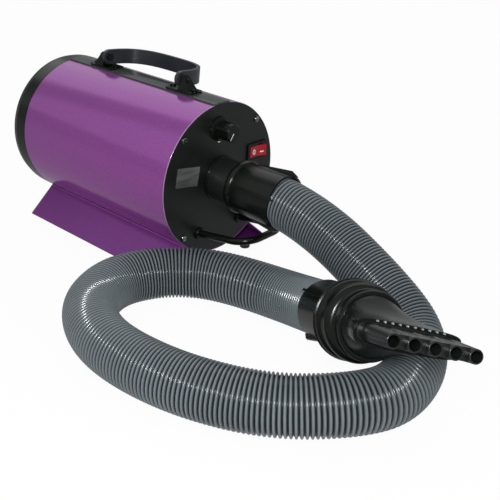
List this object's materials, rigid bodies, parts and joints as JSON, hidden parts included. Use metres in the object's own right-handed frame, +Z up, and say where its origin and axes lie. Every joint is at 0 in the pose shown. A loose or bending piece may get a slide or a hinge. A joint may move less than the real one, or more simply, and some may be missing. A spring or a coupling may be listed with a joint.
{
  "type": "pet dryer",
  "caption": "Portable pet dryer: a purple sheet-metal blower drum on a flared stand with a folding handle, speed knob, switch, ribbed hose and finger-comb nozzle.",
  "frame": {"origin": "on the floor under the middle of the blower, its hose and nozzle left out of the measure", "axes": "+X forward along the drum's axis, out of the air outlet; +Y to the switch side; +Z up"},
  "size_m": [0.6759, 0.3396, 0.2118],
  "materials": {
    "purple_paint": "semi-gloss metallic paint",
    "black_panel": "satin powder coat",
    "black_rail": "satin",
    "black_plastic": "moulded, semi-gloss",
    "hose_vinyl": "satin",
    "rubber": "matte",
    "black_steel": "black zinc plated",
    "bright_steel": "plated",
    "zinc_steel": "zinc plated",
    "aluminium": "mill finish",
    "red_plastic": "gloss, translucent",
    "plate_silver": "satin foil",
    "foam": "open cell",
    "copper": "enamelled",
    "core_steel": "laminated",
    "board_green": "solder mask",
    "brown_plastic": "moulded",
    "bristle_plastic": "moulded"
  },
  "bodies": {
    "housing": {"body_shell": "purple_paint", "base_stand": "purple_paint", "front_panel": "black_panel", "top_rail": "black_rail", "rear_cap": "black_plastic", "outlet_trim_ring": "black_plastic", "outlet_cuff": "black_plastic", "nozzle_cuff": "black_plastic", "outlet_spigot": "black_plastic", "switch_housing": "black_plastic", "front_bail": "black_plastic", "cord_gland": "black_plastic", "front_handle_bracket": "black_plastic", "rear_handle_bracket": "black_plastic", "hose": "hose_vinyl", "base_feet": "rubber", "outlet_gasket": "rubber", "rear_motor_gasket": "rubber", "front_panel_screws": "black_steel", "base_stand_screws": "black_steel", "rear_cap_screws": "black_steel", "handle_bracket_screws": "black_steel", "handle_pins": "black_steel", "bail_nuts": "bright_steel", "potentiometer_nut": "bright_steel", "rear_bearing": "bright_steel", "front_bearing": "bright_steel", "board_standoffs": "bright_steel", "front_mounting_ring": "zinc_steel", "rear_mounting_ring": "zinc_steel", "rear_bulkhead": "zinc_steel", "front_bulkhead": "zinc_steel", "fan_shroud": "zinc_steel", "motor_frame": "zinc_steel", "motor_end_bracket": "zinc_steel", "filter_retainer": "zinc_steel", "heat_sink": "aluminium", "data_plate": "plate_silver", "filter_foam": "foam", "acoustic_liner": "foam", "stator_windings": "copper", "stator_core": "core_steel", "carbon_brushes": "core_steel", "control_board": "board_green", "brush_holders": "brown_plastic", "potentiometer_body": "brown_plastic", "outlet_duct": "brown_plastic"},
    "handle": {"handle_band": "black_plastic"},
    "rocker": {"switch_rocker": "red_plastic"},
    "knob": {"speed_knob": "black_plastic", "potentiometer_shaft": "bright_steel"},
    "rotor": {"motor_shaft": "bright_steel", "armature_core": "core_steel", "armature_windings": "copper", "commutator": "copper", "impeller": "aluminium"},
    "nozzle": {"nozzle_collar": "black_plastic", "nozzle_body": "black_plastic", "nozzle_comb": "black_plastic", "nozzle_bristles": "bristle_plastic"}
  },
  "joints": [
    {"name": "handle_fold", "type": "hinge", "parent": "housing", "child": "handle", "pos_m": [-0.02001, 0, 0.2033], "axis": [1, 0, 0], "range_deg": [0, 190]},
    {"name": "rocker_tilt", "type": "hinge", "parent": "housing", "child": "rocker", "pos_m": [0.10499, 0.058, 0.1239], "axis": [0, 0, 1], "range_deg": [0, 20]},
    {"name": "knob_turn", "type": "hinge", "parent": "housing", "child": "knob", "pos_m": [0.10499, -0.004, 0.1633], "axis": [-1, 0, 0], "range_deg": [0, 300]},
    {"name": "rotor_spin", "type": "hinge", "parent": "housing", "child": "rotor", "pos_m": [-0.01501, 0, 0.1055], "axis": [1, 0, 0], "continuous": true},
    {"name": "nozzle_pull", "type": "slide", "parent": "housing", "child": "nozzle", "axis": [0.7734, -0.4927, 0.3987], "range_m": [0, 0.05]}
  ]
}
